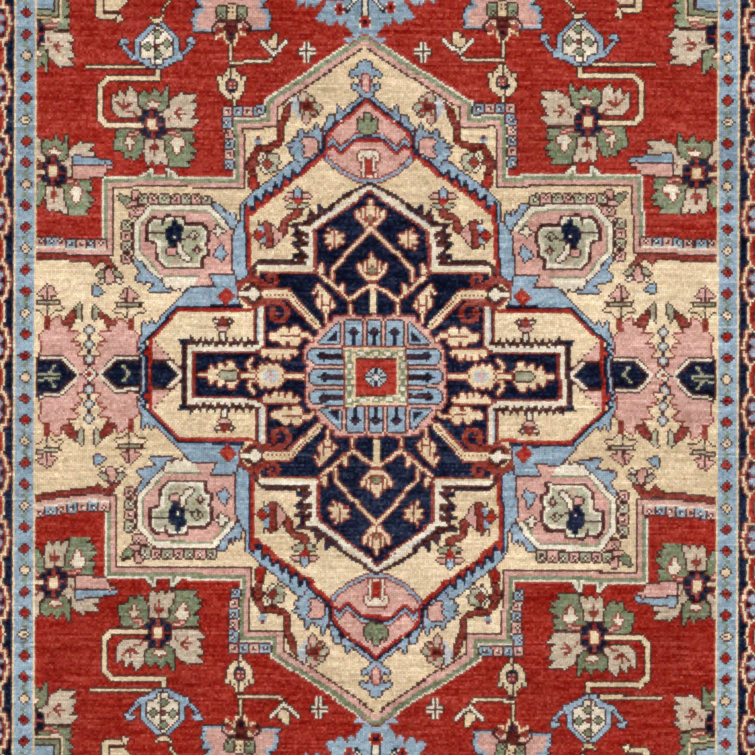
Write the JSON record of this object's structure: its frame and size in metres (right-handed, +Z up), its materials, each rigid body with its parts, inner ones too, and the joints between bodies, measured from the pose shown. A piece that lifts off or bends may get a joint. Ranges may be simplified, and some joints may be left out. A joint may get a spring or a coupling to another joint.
{
  "type": "area rug",
  "caption": "Rectangular hand-knotted wool area rug with a stepped geometric medallion, borders, corded sides, flat-woven ends and knotted fringes.",
  "frame": {"origin": "on the floor under the rug's centre, which is the middle of the box's lowest face", "axes": "+Z up out of the pile, +Y along the warps, the rug's length and the fringes, +X across the rug along the rows of knots"},
  "size_m": [1.5236, 2.2758, 0.011],
  "materials": {
    "bracket_pile": "knotted wool pile, ivory ground with vines, leaves and a light blue lozenge band",
    "centre_pile": "knotted wool pile, pink ground with light blue cartouches and an ivory square",
    "cotton_foundation": "undyed cotton warps and wefts, matt",
    "edge_band_pile": "knotted wool pile, plain dark band",
    "field_pile": "knotted wool pile, madder red ground with palmettes and vases, streaked by the dye",
    "fringe_cotton": "undyed cotton warps, twisted and knotted in tassels, matt",
    "inner_guard_pile": "knotted wool pile, light blue ground with small flowers",
    "kilim_wool": "weft-faced flat weave in madder red wool, matt",
    "main_border_pile": "knotted wool pile, navy ground with palmettes on a vine",
    "medallion_pile": "knotted wool pile, navy ground with ivory and red branches",
    "outer_guard_pile": "knotted wool pile, pink ground with small flowers",
    "panel_pile": "knotted wool pile, pink ground",
    "selvedge_wool": "madder red wool overcast round a cable of warps, matt",
    "spandrel_pile": "knotted wool pile, light blue ground in the corners"
  },
  "bodies": {
    "root": {"edge_band_east": "edge_band_pile", "edge_band_north": "edge_band_pile", "edge_band_south": "edge_band_pile", "edge_band_west": "edge_band_pile", "foundation": "cotton_foundation", "fringe_north": "fringe_cotton", "fringe_south": "fringe_cotton", "inner_guard_east": "inner_guard_pile", "inner_guard_north": "inner_guard_pile", "inner_guard_south": "inner_guard_pile", "inner_guard_west": "inner_guard_pile", "kilim_end_north": "kilim_wool", "kilim_end_south": "kilim_wool", "main_border_east": "main_border_pile", "main_border_north": "main_border_pile", "main_border_south": "main_border_pile", "main_border_west": "main_border_pile", "outer_guard_east": "outer_guard_pile", "outer_guard_north": "outer_guard_pile", "outer_guard_south": "outer_guard_pile", "outer_guard_west": "outer_guard_pile", "pile_arm_east": "medallion_pile", "pile_arm_west": "medallion_pile", "pile_bracket_ne": "bracket_pile", "pile_bracket_nw": "bracket_pile", "pile_bracket_se": "bracket_pile", "pile_bracket_sw": "bracket_pile", "pile_centre_octagon": "centre_pile", "pile_field_ne": "field_pile", "pile_field_nw": "field_pile", "pile_field_se": "field_pile", "pile_field_sw": "field_pile", "pile_head_panel_north": "panel_pile", "pile_head_panel_south": "panel_pile", "pile_medallion_north": "medallion_pile", "pile_medallion_south": "medallion_pile", "pile_side_flower_east": "panel_pile", "pile_side_flower_west": "panel_pile", "pile_spandrel_ne": "spandrel_pile", "pile_spandrel_nw": "spandrel_pile", "pile_spandrel_se": "spandrel_pile", "pile_spandrel_sw": "spandrel_pile", "selvedge_east": "selvedge_wool", "selvedge_west": "selvedge_wool"}
  },
  "joints": []
}
